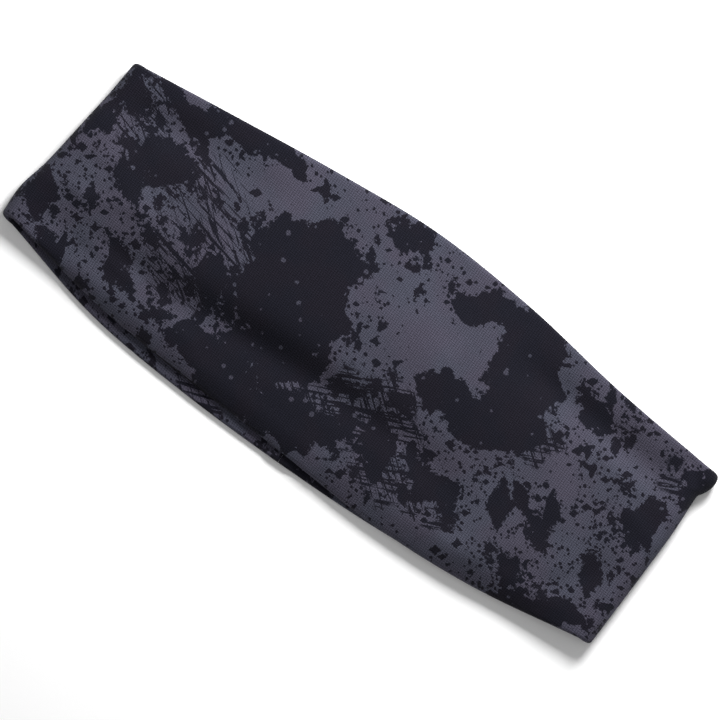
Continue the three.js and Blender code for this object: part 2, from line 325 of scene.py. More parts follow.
class Loop:
    """The band's path and outline. A station on it is a distance from the centre back, up to the start of
    an end fold, and a turn from 0 on the back half to half a circle on the front half."""

    def __init__(self):
        shape = settings("band_shape")
        cloth = settings("band_cloth")
        self.shape = shape
        self.fold_radius = shape.fold_height / 2
        self.straight = shape.half_length - self.fold_radius
        self.shell = cloth.shell_thickness
        self.wall_depth = FLANGE_DEPTH + self.shell
        self.roll_radius = self.wall_depth / 2
        self.ply_gap = LINING_DEPTH - self.shell
        self.lining_face = FLANGE_DEPTH - self.ply_gap
        self.seam_recess = INNER_THREAD[0].z - FLANGE_DEPTH
        self.recess_half = (BACK_THREAD[1].x - BACK_THREAD[0].x) / 2 + self.ply_gap
        self.front_upper = smooth_curve(shape.front_upper_edge, -1, 1)
        self.front_lower = smooth_curve(shape.front_lower_edge, -1, 1)
        self.back_upper = smooth_curve(shape.back_upper_edge, -1, 1)
        self.back_lower = smooth_curve(shape.back_lower_edge, -1, 1)
        self.left = smooth_curve(shape.left_reach, 0, 1)
        self.right = smooth_curve(shape.right_reach, 0, 1)

    def length(self):
        return 4 * self.straight + 2 * math.pi * self.fold_radius

    def stations(self, run):
        """Distance and turn after a run along the loop from the centre back, which goes out along +X on
        the back half, over the right fold, back along the front half and down the left fold."""
        arc = math.pi * self.fold_radius
        knots = np.cumsum([0, self.straight, arc, 2 * self.straight, arc, self.straight])
        ends = self.straight * np.array([0, 1, 1, -1, -1, 0])
        turns = math.pi * np.array([0, 0, 1, 1, 0, 0])
        return np.interp(run, knots, ends), np.interp(run, knots, turns)

    def edges(self, distance, turn):
        """The lower and upper long edge at a station."""
        along = distance / self.straight
        front = (1 - np.cos(turn)) / 2
        low = mix(self.back_lower(along), self.front_lower(along), front)
        high = mix(self.back_upper(along), self.front_upper(along), front)
        return low, high

    def stretch(self, distance, share):
        """How much longer the half length is at a share of the width than its nominal straight length."""
        from_corner = (share - CORNER_SHARE) / CORNER_SPREAD
        corner = self.shape.corner_reach * np.maximum(0, 1 - from_corner**2)
        reach = np.where(distance < 0, self.left(share), self.right(share) + corner)
        return (self.shape.half_length + reach - self.fold_radius) / self.straight

    def front_lift(self, distance, x, y, low, high):
        """Height of the front half over the plain loop: its rise, the droop of its edges, and its folds."""
        rise = smooth_step(self.straight - np.abs(distance), 0, self.shape.front_rise_run)
        rise = rise * (FRONT_HEIGHT - self.shape.fold_height - self.shape.front_slack)
        droop_here = self.shape.edge_droop * (1 - np.abs(distance / self.straight) ** 6)
        near_low = np.exp(-np.maximum(y - low, 0) / LOW_DROOP_RUN)
        near_high = np.exp(-np.maximum(high - y, 0) / HIGH_DROOP_RUN)
        droop = droop_here * (near_low + HIGH_DROOP_SHARE * near_high)
        folds = front_folds(x / MM, y / MM) * MM
        room = mix(FOLD_ROOM, 1, smooth_step(self.straight - np.abs(distance), 0, FOLD_ROOM_RUN))
        return rise - droop + folds * room

    def lift(self, distance, turn, x, y, low, high):
        """Height over the plain loop: the seam's recess on the back half, and on the front half its own lift,
        less what brings its lower edge down towards the back half, away from the end folds."""
        front = smooth_step((1 - np.cos(turn)) / 2)
        past_recess = np.abs(distance) - self.recess_half
        recess = 1 - smooth_step(past_recess, 0, RECESS_RUN)
        over_seam = 1 - smooth_step(past_recess, *SEAM_RISE_RUN)
        rest = 2 * self.wall_depth + REST_GAP + over_seam * SEAM_RISE - self.shape.fold_height
        above = np.maximum(self.front_lift(distance, x, low, low, high) - rest, 0)
        settled = smooth_step(self.straight - np.abs(distance), *SETTLE_RUN)
        drop = above * settled * np.exp(-np.maximum(y - low, 0) / SETTLE_FADE)
        up = self.front_lift(distance, x, y, low, high) - drop
        return recess * self.seam_recess * (1 - front) + front * up

    def place(self, distance, turn, share, offset, depth):
        """The points at stations, shares of the width plus offsets, and depths below the outer face."""
        low, high = self.edges(distance, turn)
        y = mix(low, high, share) + offset
        width_share = np.clip((y - low) / (high - low), 0, 1)
        straight = distance * self.stretch(distance, width_share)
        radius = self.fold_radius - depth
        side = np.where(distance < 0, -1, 1)
        x = straight + side * radius * np.sin(turn)
        z = self.fold_radius - radius * np.cos(turn)
        z = z + self.lift(distance, turn, straight, y, low, high)
        return np.stack(np.broadcast_arrays(x, y, z), axis=-1)

    def cloth(self, distance, turn, share, offset):
        """Where a point lies on the cloth, in millimetres: x along it, equal to x on the front half, and
        y across it."""
        low, high = self.edges(distance, turn)
        y = mix(low, high, share) + offset
        width_share = np.clip((y - low) / (high - low), 0, 1)
        side = np.where(distance < 0, -1, 1)
        stretch = self.stretch(distance, width_share)
        end = side * self.straight * stretch
        fold = side * self.fold_radius * (math.pi - turn)
        on_front = distance * stretch + np.where(np.abs(distance) >= self.straight * 0.9999, fold, 0)
        on_back = 2 * end + side * self.fold_radius * math.pi - distance * stretch
        along = np.where(turn <= 0, on_back, on_front)
        return np.stack(np.broadcast_arrays(along / MM, y / MM, 0 * y), axis=-1)


# ---- Where the print is dense ----
# The print is a generic splatter. Only its balance is laid out here, as broad ellipses on the cloth: x, y,
# half length and half width in millimetres, and tilt in degrees. Noise in the material gives every blot its
# own edge. PALE_BACK is a stretch of the back half without pools or strokes.
DENSE_INK = (
    (-28, 2, 22, 28, 8), (-22, -32, 31, 10, 2), (50, 22, 15, 20, -8), (42, 4, 20, 7, 8),
    (32, 36, 18, 7, 6), (-72, 35, 28, 6, 4), (-88, 13, 13, 7, -20), (-111, 14, 5, 6, 10),
    (-10, 37, 10, 7, 20), (110, 10, 9, 8, 12), (98, -37, 20, 5, 8), (44, -20, 14, 5, -26),
    (118, 29, 7, 7, 0), (82, 26, 8, 4, -40),
)
CHIPPED_INK = ((-88, -16, 38, 20, 6), (80, -10, 44, 30, -10), (20, -22, 30, 14, 0), (-100, 18, 26, 20, -30))
CLEAR_GROUND = ((21, 16, 17, 12, -4), (-44, 31, 9, 7, 0), (-3, 26, 6, 7, 0), (72, 2, 12, 5, -20))
PALE_BACK = ((-168, -42, 52, 8, 0),)
# Far from every ellipse, a point counts as this deep.
FAR_OUTSIDE = -40.0
LONG_STROKES = ((-64, 9, 27, 15, -10), (-60, -12, 18, 9, -30), (-102, 24, 16, 10, -50))
CROSSED_STROKES = ((10, -17, 28, 14, 12), (30, -27, 30, 10, -8), (62, 8, 9, 8, -45), (108, 26, 10, 5, -40))


def reach(patches, x, y):
    """How deep points lie inside the nearest of some ellipses, in millimetres, and negative outside: an
    ellipse's own radius in that direction, less the distance from its centre."""
    deepest = np.full(np.shape(x), FAR_OUTSIDE)
    for centre_x, centre_y, half_length, half_width, tilt in patches:
        turn = math.radians(tilt)
        along = (x - centre_x) * math.cos(turn) + (y - centre_y) * math.sin(turn)
        aside = (y - centre_y) * math.cos(turn) - (x - centre_x) * math.sin(turn)
        r = np.hypot(along / half_length, aside / half_width)
        radius_here = np.hypot(along, aside) / np.maximum(r, 1e-6)
        deepest = np.maximum(deepest, radius_here * (1 - r))
    return deepest


def scattered(count, seed, half_lengths):
    """Ellipses scattered over the cloth of the back half, on both sides of the cross seam."""
    random = np.random.default_rng(seed)
    side = np.where(np.arange(count) % 2 == 0, -1, 1)
    x = side * random.uniform(134, 245, count)
    y = random.uniform(-44, 40, count)
    length = random.uniform(*half_lengths, count)
    width = length * random.uniform(0.4, 0.8, count)
    return np.stack([x, y, length, width, random.uniform(-60, 60, count)], axis=1)


def bent(x, y):
    """Points moved a few millimetres along slow waves, which frees the outline of an ellipse laid on them."""
    aside = 3.4 * np.sin(0.13 * y + 0.05 * x + 0.7) + 1.7 * np.sin(0.31 * y - 0.19 * x + 2.1)
    up = 3.0 * np.sin(0.12 * x - 0.07 * y + 1.9) + 1.7 * np.sin(0.29 * x + 0.23 * y + 0.4)
    return x + aside, y + up


def print_fields(x, y):
    """The print's smooth fields at points of the cloth: how deep each lies in dense ink, in chipped ink, in
    clear ground and in the two fields of strokes, in millimetres. Pools and strokes keep off PALE_BACK."""
    x, y = bent(x, y)
    layout = {
        "pool": [*DENSE_INK, *scattered(18, 5, (6, 20))],
        "chips": [*CHIPPED_INK, *scattered(8, 6, (14, 30))],
        "clear": [*CLEAR_GROUND, *scattered(10, 7, (6, 14))],
        "long_strokes": [*LONG_STROKES, *scattered(6, 8, (10, 20))],
        "crossed_strokes": [*CROSSED_STROKES, *scattered(6, 9, (10, 22))],
    }
    fields = {name: reach(patches, x, y) for name, patches in layout.items()}
    for name in ("pool", "long_strokes", "crossed_strokes"):
        fields[name] = np.minimum(fields[name], -reach(PALE_BACK, x, y))
    return fields


# ---- Meshes ----
def new_object(name, points, faces, material):
    mesh = bpy.data.meshes.new(name)
    mesh.from_pydata(points, [], faces)
    piece = bpy.data.objects.new(name, mesh)
    bpy.context.scene.collection.objects.link(piece)
    mesh.materials.append(material)
    mesh.polygons.foreach_set("use_smooth", np.ones(len(mesh.polygons), bool))
    return piece


def write_attribute(piece, name, values):
    values = np.asarray(values, np.float32)
    kind, field = ("FLOAT_VECTOR", "vector") if values.ndim == 2 else ("FLOAT", "value")
    attribute = piece.data.attributes.new(name, kind, "POINT")
    attribute.data.foreach_set(field, values.ravel())


def grid_faces(rows, columns, first=0, around=False):
    """Quads over a grid of points in row order, closed from the last row to the first if around."""
    row = np.arange(rows if around else rows - 1)[:, None]
    column = np.arange(columns - 1)[None, :]
    a = first + row * columns + column
    b = first + (row + 1) % rows * columns + column
    return np.stack([a, b, b + 1, a + 1], axis=-1).reshape(-1, 4)


def strip_faces(ribs, stations):
    """Quads of a closed strip: its ring of 2 * ribs rows, outer face then inner face reversed, is closed
    round the section, and each end is a ladder between the two faces."""
    walls = grid_faces(2 * ribs, stations, around=True)
    rung = np.arange(ribs - 1)
    outer, inner = rung * stations, (2 * ribs - 1 - rung) * stations
    near = np.stack([inner, inner - stations, outer + stations, outer], axis=-1)
    far = near[:, ::-1] + stations - 1
    return np.concatenate([walls, near, far])


def section(*parts):
    """One section from parts: each is (share, offset, depth, sideways, inward, past), as arrays."""
    return [np.concatenate([np.broadcast_to(part[k], part[1].shape) for part in parts]) for k in range(6)]


def rolled_edge(loop, share, flange):
    """The section of one long edge of the shell, from its raw edge inside round to the outer ply: a straight
    flange, then half a circle. past is how far the cloth runs on beyond the band's edge."""
    sign = 1 if share == 0 else -1
    radius = loop.roll_radius - loop.shell / 2
    flat = np.linspace(flange, loop.roll_radius, 6)[:-1]
    turn = np.linspace(0, math.pi, 9)
    run_on = math.pi * radius
    turned_in = -sign * (run_on + 2 * (flat - loop.roll_radius))
    straight = (share, sign * flat, 2 * loop.roll_radius - loop.shell / 2, 0, -1, turned_in)
    bend = (
        share,
        sign * (loop.roll_radius - radius * np.sin(turn)),
        loop.roll_radius + radius * np.cos(turn),
        sign * np.sin(turn),
        -np.cos(turn),
        -sign * radius * (math.pi - turn - np.sin(turn)),
    )
    return straight, bend


def plain_ply(inset, depth, share):
    """A ply between two insets from the long edges, with a rib at each share of its width."""
    return share, inset * (1 - 2 * share), depth, 0, 1, 0


def reversed_part(part):
    return tuple(value[::-1] if np.ndim(value) else value for value in part)


def strip(name, loop, ribs, thickness, stations, material):
    """A closed strip of cloth: each rib's middle line is carried along the stations, and its two faces lie
    half a thickness to either side of it."""
    share, offset, depth, sideways, inward, past = (np.asarray(part, float)[:, None] for part in ribs)
    distance, turn = (part[None, :] for part in stations)
    faces = [
        loop.place(distance, turn, share, offset + through * sideways, depth + through * inward)
        for through in (-thickness / 2, thickness / 2)
    ]
    points = np.concatenate([faces[0], faces[1][::-1]]).reshape(-1, 3)
    piece = new_object(name, points, strip_faces(len(share), distance.shape[1]).tolist(), material)
    cloth = loop.cloth(distance, turn, share, offset)
    cloth[..., 1] += past / MM
    cloth = np.concatenate([cloth, cloth[::-1]]).reshape(-1, 3)
    write_attribute(piece, "cloth", cloth)
    return piece, cloth


# Points along the loop: each cut end stands this far from the centre back, with this many points from there
# to a margin past the seam's recess. Elsewhere their spacing is a multiple of the front half's.
SEAM_SLIT = 0.03 * MM
SEAM_POINTS = 12
SEAM_MARGIN = 5 * MM
BACK_SPACING = 2.2
FOLD_SPACING = 0.75


def loop_runs(loop, grid):
    """Runs along the loop, closer together over the seam and the end folds, and wider on the back half."""
    arc = math.pi * loop.fold_radius
    seam_end = loop.recess_half + SEAM_MARGIN
    first_fold = loop.straight
    second_fold = 3 * loop.straight + arc
    back = int((loop.straight - seam_end) / (BACK_SPACING * grid))
    fold = int(arc / (FOLD_SPACING * grid))
    front = int(2 * loop.straight / grid)
    parts = [
        np.linspace(SEAM_SLIT, seam_end, SEAM_POINTS),
        np.linspace(seam_end, first_fold, back)[1:],
        np.linspace(first_fold, first_fold + arc, fold)[1:],
        np.linspace(first_fold + arc, second_fold, front)[1:],
        np.linspace(second_fold, second_fold + arc, fold)[1:],
    ]
    out = np.concatenate(parts[:2])
    return np.concatenate([*parts, (loop.length() - out[::-1])[1:]])


def tube(name, middle, inward, radius, sides, material):
    """A thread: a ring of points round each point of its middle line, in the plane of the inward direction
    and of the direction square to that and to the line. Its attribute "cloth" is the run along and round."""
    along = np.gradient(middle, axis=0)
    along /= np.linalg.norm(along, axis=1, keepdims=True)
    inward = inward - along * np.sum(inward * along, axis=1, keepdims=True)
    inward /= np.linalg.norm(inward, axis=1, keepdims=True)
    angle = (2 * math.pi * np.arange(sides) / sides)[:, None, None]
    points = middle + radius * (np.cos(angle) * inward + np.sin(angle) * np.cross(along, inward))
    count = len(middle)
    near_cap = [side * count for side in reversed(range(sides))]
    far_cap = [side * count + count - 1 for side in range(sides)]
    faces = grid_faces(sides, count, around=True).tolist() + [near_cap, far_cap]
    piece = new_object(name, points.reshape(-1, 3), faces, material)
    run = np.concatenate([[0], np.cumsum(np.linalg.norm(np.diff(middle, axis=0), axis=1))])
    cloth = np.stack(np.broadcast_arrays(run[None, :] / MM, radius * angle[:, :, 0] / MM, 0), axis=-1)
    write_attribute(piece, "cloth", cloth.reshape(-1, 3))
    return piece


def sewn(name, loop, distance, turn, share, offset, depth, material):
    """A thread sewn along a route on the loop, at the depth of its middle line."""
    sewing = settings("band_sewing")
    middle = loop.place(distance, turn, share, offset, depth)
    inward = loop.place(distance, turn, share, offset, depth + MM) - middle
    piece = tube(name, middle, inward, sewing.thread_diameter / 2, sewing.sides, material)
    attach(piece, "band")
    return piece


def stitched(first, last, stitches):
    """Even points along a run from first to last, and the length of one of its stitches."""
    return np.linspace(first, last, stitches * STITCH_POINTS + 1), (last - first) / stitches


# Points along a thread, to each of its stitches.
STITCH_POINTS = 8


def zigzag(run, pitch):
    """A rounded zigzag from -1 to 1, one cycle to a pitch, that lingers at its turns."""
    wave = np.sin(2 * math.pi * run / pitch)
    return wave * (1.35 - 0.35 * wave * wave)


# ---- Materials ----
class Cloth:
    """A material's node tree, written as nested calls: each method adds one node and returns its output."""

    def __init__(self, name):
        self.material = bpy.data.materials.new(name)
        self.material.use_nodes = True
        self.tree = self.material.node_tree
        self.tree.nodes.clear()

    def node(self, kind, inputs=(), **options):
        made = self.tree.nodes.new(kind)
        for key, value in options.items():
            setattr(made, key, value)
        for key, value in dict(inputs).items():
            self.feed(made.inputs[key], value)
        return made

    def feed(self, socket, value):
        if isinstance(value, bpy.types.NodeSocket):
            self.tree.links.new(value, socket)
        else:
            socket.default_value = value

    def math(self, operation, *values):
        made = self.node("ShaderNodeMath", operation=operation)
        for socket, value in zip(made.inputs, values):
            self.feed(socket, value)
        return made.outputs[0]

    def plus(self, a, b):
        return self.math("ADD", a, b)

    def minus(self, a, b):
        return self.math("SUBTRACT", a, b)

    def times(self, a, b):
        return self.math("MULTIPLY", a, b)

    def fit(self, value, gain, base):
        """A value times a gain, plus a base."""
        return self.math("MULTIPLY_ADD", value, gain, base)

    def vector(self, operation, *values, scale=None):
        made = self.node("ShaderNodeVectorMath", operation=operation)
        for socket, value in zip(made.inputs, values):
            self.feed(socket, value)
        if scale is not None:
            self.feed(made.inputs["Scale"], scale)
        return made.outputs["Vector"]

    def field(self, name):
        return self.node("ShaderNodeAttribute", attribute_name=name).outputs["Fac"]

    def place(self):
        """Where the piece's own attribute says that a point lies on the cloth, in millimetres."""
        return self.node("ShaderNodeAttribute", attribute_name="cloth").outputs["Vector"]

    def split(self, place):
        """The two parts of a place: along the cloth and across it."""
        parts = self.node("ShaderNodeSeparateXYZ", {0: place}).outputs
        return parts[0], parts[1]

    def moved(self, place, wander, distance):
        """A place moved along a wandering direction, by up to about half a distance."""
        return self.vector("ADD", place, self.vector("SCALE", wander, scale=distance))

    def grey(self, value):
        return self.node("ShaderNodeCombineColor", dict.fromkeys((0, 1, 2), value)).outputs[0]

    def turned(self, place, tilt, stretch):
        """A place turned by minus a tilt in degrees, then scaled along and across."""
        spin = (0, 0, -math.radians(tilt))
        turned = self.node("ShaderNodeMapping", {"Vector": place, "Rotation": spin}).outputs[0]
        return self.vector("MULTIPLY", turned, (stretch[0], stretch[1], 1))

    def noise(self, place, scale, detail=2.0, roughness=0.5, colour=False):
        inputs = {"Vector": place, "Scale": scale, "Detail": detail, "Roughness": roughness}
        made = self.node("ShaderNodeTexNoise", inputs)
        return made.outputs["Color" if colour else "Fac"]

    def cells(self, place, scale):
        """The distance to the nearest point of a jittered grid."""
        return self.node("ShaderNodeTexVoronoi", {"Vector": place, "Scale": scale}).outputs["Distance"]

    def ramp(self, value, low, high, first=0.0, last=1.0):
        """first below low, last above high, and a smooth step between them."""
        inputs = {"Value": value, "From Min": low, "From Max": high, "To Min": first, "To Max": last}
        return self.node("ShaderNodeMapRange", inputs, interpolation_type="SMOOTHSTEP").outputs[0]

    def mix(self, share, a, b):
        made = self.node("ShaderNodeMix", data_type="RGBA")
        self.feed(made.inputs[0], share)
        self.feed(made.inputs[6], a)
        self.feed(made.inputs[7], b)
        return made.outputs[2]

    def shade(self, colour, value):
        """A colour times a value."""
        made = self.node("ShaderNodeMix", data_type="RGBA", blend_type="MULTIPLY")
        self.feed(made.inputs[0], 1.0)
        self.feed(made.inputs[6], colour)
        self.feed(made.inputs[7], self.grey(value))
        return made.outputs[2]

    def finish(self, colour, roughness, height, depth, **sockets):
        """The surface: a Principled shader with a colour, a roughness, and a height in shares of a depth."""
        bump = self.node("ShaderNodeBump", {"Height": height, "Distance": depth, "Strength": 1.0})
        shader = self.node("ShaderNodeBsdfPrincipled", {"Base Color": colour, "Roughness": roughness})
        self.tree.links.new(bump.outputs[0], shader.inputs["Normal"])
        for name, value in sockets.items():
            shader.inputs[name.replace("_", " ")].default_value = value
        out = self.node("ShaderNodeOutputMaterial")
        self.tree.links.new(shader.outputs[0], out.inputs[0])
        return self.material


# The two knits, in millimetres: from one column of stitches to the next, and from one row to the next. The
# lining also has dimples, this many to a millimetre.
SHELL_STITCH = (0.86, 0.74)
LINING_STITCH = (0.8, 0.62)
DIMPLE_SCALE = 0.8
# The print's colours drift between two tints of the ground, and between ink and a warmer ink. The drift of
# the tints is read this far along the cloth, in millimetres, which sets it apart from the other noises.
STEEL_TINT = (0.945, 0.985, 1.00)
MAUVE_TINT = (1.02, 0.955, 0.99)
WARM_INK_TINT = (1.12, 1.02, 1.0)
DRIFT_SHIFT = (90, 0, 0)
# Layers of blots: their edge, their pitch in millimetres, tilt in degrees, stretch along it, density on clear
# cloth, what dense print adds to that, size in pitches, and whether they are angular.
BLOT_LAYERS = (
    ("crisp", 8.4, -62, 2.0, 0.01, 0.24, 1.05, True),
    ("ragged", 6.4, -34, 1.7, 0.02, 0.21, 1.2, True),
    ("ragged", 3.9, -52, 1.6, 0.05, 0.27, 1.2, True),
    ("crisp", 2.3, 32, 1.4, 0.14, 0.29, 1.0, True),
    ("crisp", 1.25, -30, 1.2, 0.28, 0.46, 0.62, False),
)
# Layers of strokes: their field, tilt in degrees, width as a share of the noise, and length in millimetres.
STROKE_LAYERS = (
    ("long_strokes", -13, 0.038, 26), ("long_strokes", -36, 0.026, 18),
    ("crossed_strokes", 24, 0.060, 26), ("crossed_strokes", -38, 0.042, 22),
)


def tinted(colour, tint):
    return (*(part * share for part, share in zip(colour, tint)), 1)


def knit_height(cloth, place, wale, course):
    """Height of a plain knit, about 0 in its grooves and 0.9 on its yarn: in each column of stitches, two
    legs lean into a V. A leg is highest halfway across its half of the column, each stitch starts lower at
    the column's sides, and the groove between two columns is deeper than the one between two legs."""
    along, up = cloth.split(place)
    column = cloth.math("ABSOLUTE", cloth.minus(cloth.math("FRACT", cloth.math("DIVIDE", along, wale)), 0.5))
    leg = cloth.math("SINE", cloth.times(column, 2 * math.pi))
    leg = cloth.fit(leg, 0.82, cloth.fit(column, -0.85, 0.26))
    rise = cloth.plus(cloth.math("DIVIDE", up, course), cloth.times(column, 1.3))
    stitch = cloth.math("SINE", cloth.times(cloth.math("FRACT", rise), math.pi))
    return cloth.times(leg, cloth.fit(stitch, 0.75, 0.25))


def blots(cloth, place, pitch, tilt, stretch, density, size, angular=True):
    """Ink from 0 to 1 in separate blots: one to a cell of a jittered grid, whose pitch is longer along a
    tilt. A share density of the cells has a blot, and its reach is a random part of size, in pitches."""
    grid = cloth.turned(place, tilt, (1 / (pitch * stretch), 1 / pitch))
    metric = "MANHATTAN" if angular else "EUCLIDEAN"
    cell = cloth.node("ShaderNodeTexVoronoi", {"Vector": grid, "Scale": 1.0}, distance=metric)
    draw = cloth.node("ShaderNodeSeparateColor", {0: cell.outputs["Color"]})
    has_blot = cloth.math("LESS_THAN", draw.outputs[1], density)
    reach_out = cloth.fit(cloth.math("POWER", draw.outputs[0], 1.6), 0.8 * size, 0.2 * size)
    level = cloth.minus(cloth.times(reach_out, has_blot), cell.outputs["Distance"])
    return cloth.ramp(level, 0.0, 0.16 / pitch)


def strokes(cloth, place, tilt, inside, width, length):
    """Fine strokes along a tilt: the lines where a noise that is long along them crosses its middle, broken
    up by a second noise, inside a field."""
    long_noise = cloth.noise(cloth.turned(place, tilt, (0.5 / length, 0.42)), 1.0)
    from_middle = cloth.math("ABSOLUTE", cloth.minus(long_noise, 0.5))
    line = cloth.ramp(from_middle, width * 0.7, width, 1.0, 0.0)
    gaps = cloth.noise(cloth.turned(place, tilt, (1.6 / length, 0.7)), 1.0, 3.0, 0.6)
    broken = cloth.ramp(gaps, 0.45, 0.48)
    return cloth.times(line, cloth.times(broken, inside))


def splatter(cloth, place):
    """The share of ink at a place on the cloth, from 0 to 1: dense pools with ragged edges and pale flecks in
    them, angular chips, round specks and fine strokes, each as thick on the ground as its field says, and
    small faded drops over all of them."""
    wander = cloth.vector("SUBTRACT", cloth.noise(place, 0.55, 4.0, 0.65, colour=True), (0.5, 0.5, 0.5))
    loose = cloth.moved(place, wander, 2.6)
    edge_noise = cloth.minus(cloth.noise(loose, 0.15, 7.0, 0.62), 0.5)
    pool_level = cloth.fit(edge_noise, 20.0, cloth.field("pool"))
    near_edge = cloth.ramp(pool_level, 0.0, 7.0, 0.34, 0.0)
    flecks = blots(cloth, loose, 2.3, -32, 1.5, near_edge, 0.9)
    pool = cloth.times(cloth.ramp(pool_level, -0.1, 0.1), cloth.minus(1.0, flecks))

    fuzzy = cloth.times(cloth.minus(cloth.noise(place, 0.12, 3.0), 0.5), 16.0)
    near_pool = cloth.ramp(cloth.plus(cloth.field("pool"), fuzzy), -16.0, 0.0)
    warped = {"crisp": cloth.moved(place, wander, 0.9), "ragged": cloth.moved(place, wander, 2.1)}
    chipped = cloth.ramp(cloth.plus(cloth.field("chips"), fuzzy), -5.0, 5.0)
    covered = cloth.ramp(cloth.plus(cloth.field("clear"), fuzzy), -1.0, 2.0, 1.0, 0.12)
    thick = cloth.times(cloth.plus(cloth.times(near_pool, 0.35), chipped), covered)

    ink = pool
    for edge, pitch, tilt, stretch, base, gain, size, angular in BLOT_LAYERS:
        density = cloth.times(cloth.fit(thick, gain, base), covered)
        layer = blots(cloth, warped[edge], pitch, tilt, stretch, density, size, angular)
        ink = cloth.math("MAXIMUM", ink, layer)
    for name, tilt, width, length in STROKE_LAYERS:
        inside = cloth.ramp(cloth.plus(cloth.field(name), fuzzy), 0.0, 2.5)
        ink = cloth.math("MAXIMUM", ink, strokes(cloth, place, tilt, inside, width, length))
    drops = blots(cloth, warped["crisp"], 4.0, 0, 1, 0.55, 0.25, False)
    return cloth.times(ink, cloth.minus(1.0, cloth.times(drops, 0.75)))


def printed_knit():
    """The shell's knit, printed with ink on a slate ground, with painted shade in its grooves, and a little
    uneven in tone.
    """
    look = settings("band_cloth")
    cloth = Cloth("printed_knit")
    place = cloth.place()
    height = knit_height(cloth, place, *SHELL_STITCH)
    ink = splatter(cloth, place)
    hue = cloth.ramp(cloth.noise(cloth.vector("ADD", place, DRIFT_SHIFT), 0.05, 3.0), 0.36, 0.64)
    slate = cloth.mix(hue, tinted(look.slate, STEEL_TINT), tinted(look.slate, MAUVE_TINT))
    ground = cloth.shade(slate, cloth.ramp(cloth.noise(place, 0.045, 3.0), 0.3, 0.7, 0.92, 1.06))
    warmth = cloth.ramp(cloth.noise(place, 0.06), 0.42, 0.58)
    inked = cloth.mix(warmth, (*look.ink, 1), tinted(look.ink, WARM_INK_TINT))
    printed = cloth.mix(ink, ground, inked)
    # painted shade: the colour darkens down into the knit's grooves, following the bump height
    groove_shade = cloth.fit(height, 1.46, 0.38)
    fuzz = cloth.fit(cloth.noise(place, 1.4, 3.0, 0.7), 0.5, 0.75)
    colour = cloth.shade(printed, cloth.times(groove_shade, fuzz))
    relief = cloth.plus(height, cloth.times(cloth.noise(place, 1.1, 3.0), 0.5))
    return cloth.finish(
        colour, cloth.ramp(cloth.noise(place, 0.3), 0.3, 0.7, 0.74, 0.84), relief, 0.12 * MM,
        Specular_IOR_Level=0.05, Sheen_Weight=0.02, Sheen_Roughness=0.5,
    )


def lining_knit():
    """The lining's knit: plain, finer than the shell's, with small dimples that let it wick; painted shade
    darkens its grooves and dimples.
    """
    look = settings("band_cloth")
    cloth = Cloth("lining_knit")
    place = cloth.place()
    dimples = cloth.ramp(cloth.cells(place, DIMPLE_SCALE), 0.1, 0.5)
    height = cloth.times(knit_height(cloth, place, *LINING_STITCH), dimples)
    uneven = cloth.fit(cloth.noise(place, 0.08, 3.0), 0.3, 0.85)
    # painted shade: darker down in the grooves and dimples, following the bump height; uneven is a random
    # tone
    colour = cloth.shade((*look.lining, 1), cloth.times(cloth.fit(height, 0.5, 0.75), uneven))
    return cloth.finish(
        colour, cloth.ramp(cloth.noise(place, 0.4), 0.3, 0.7, 0.8, 0.9), height, 0.2 * MM,
        Specular_IOR_Level=0.2, Sheen_Weight=0.15, Sheen_Roughness=0.5,
    )


def sewing_thread():
    """Twisted thread: slanting plies as height, painted shade between the plies, and a little fluff in its
    tone.
    """
    look = settings("band_sewing")
    cloth = Cloth("sewing_thread")
    place = cloth.place()
    along, around = cloth.split(place)
    twist = cloth.plus(cloth.times(along, 9.0), cloth.times(around, 11.8))
    ply = cloth.fit(cloth.math("SINE", twist), 0.5, 0.5)
    # painted shade: darker in the grooves between the plies; the noise after it is a random fluff tone
    tone = cloth.fit(ply, 0.5, 0.7)
    ply_shade_and_fluff = cloth.times(tone, cloth.fit(cloth.noise(place, 0.9), 0.4, 0.8))
    return cloth.finish(
        cloth.shade((*look.thread, 1), ply_shade_and_fluff), cloth.ramp(ply, 0.0, 1.0, 0.65, 0.52), ply, 0.05 * MM,
        Specular_IOR_Level=0.15, Sheen_Weight=0.04, Sheen_Roughness=0.4,
    )


def label_satin():
    """Satin ribbon: long floats along it, staggered from one to the next, with a soft gloss, and painted
    shade low in its weave.
    """
    look = settings("band_sewing")
    cloth = Cloth("label_satin")
    place = cloth.place()
    floats = cloth.noise(cloth.turned(place, 0, (0.7, 7.0)), 1.0, 2.0, 0.6)
    ribs = cloth.math("SINE", cloth.times(cloth.split(place)[1], 21.0))
    weave = cloth.fit(ribs, 0.2, floats)
    # painted light and shade: darker where the weave lies low, lighter on its raised floats
    tone = cloth.fit(weave, 0.16, 0.88)
    return cloth.finish(
        cloth.shade((*look.label, 1), tone), cloth.ramp(weave, 0.2, 0.8, 0.34, 0.48), weave, 0.03 * MM,
        Specular_IOR_Level=0.5, Sheen_Weight=0.1, Sheen_Roughness=0.3, Anisotropic=0.5,
    )


def studio_floor():
    """A pale matt floor with a very faint mottle."""
    cloth = Cloth("studio_floor")
    place = cloth.node("ShaderNodeTexCoord").outputs["Object"]
    tone = cloth.fit(cloth.noise(place, 3.0), 0.01, 0.93)
    return cloth.finish(cloth.grey(tone), 0.9, cloth.noise(place, 400.0), 0.02 * MM, Specular_IOR_Level=0.1)


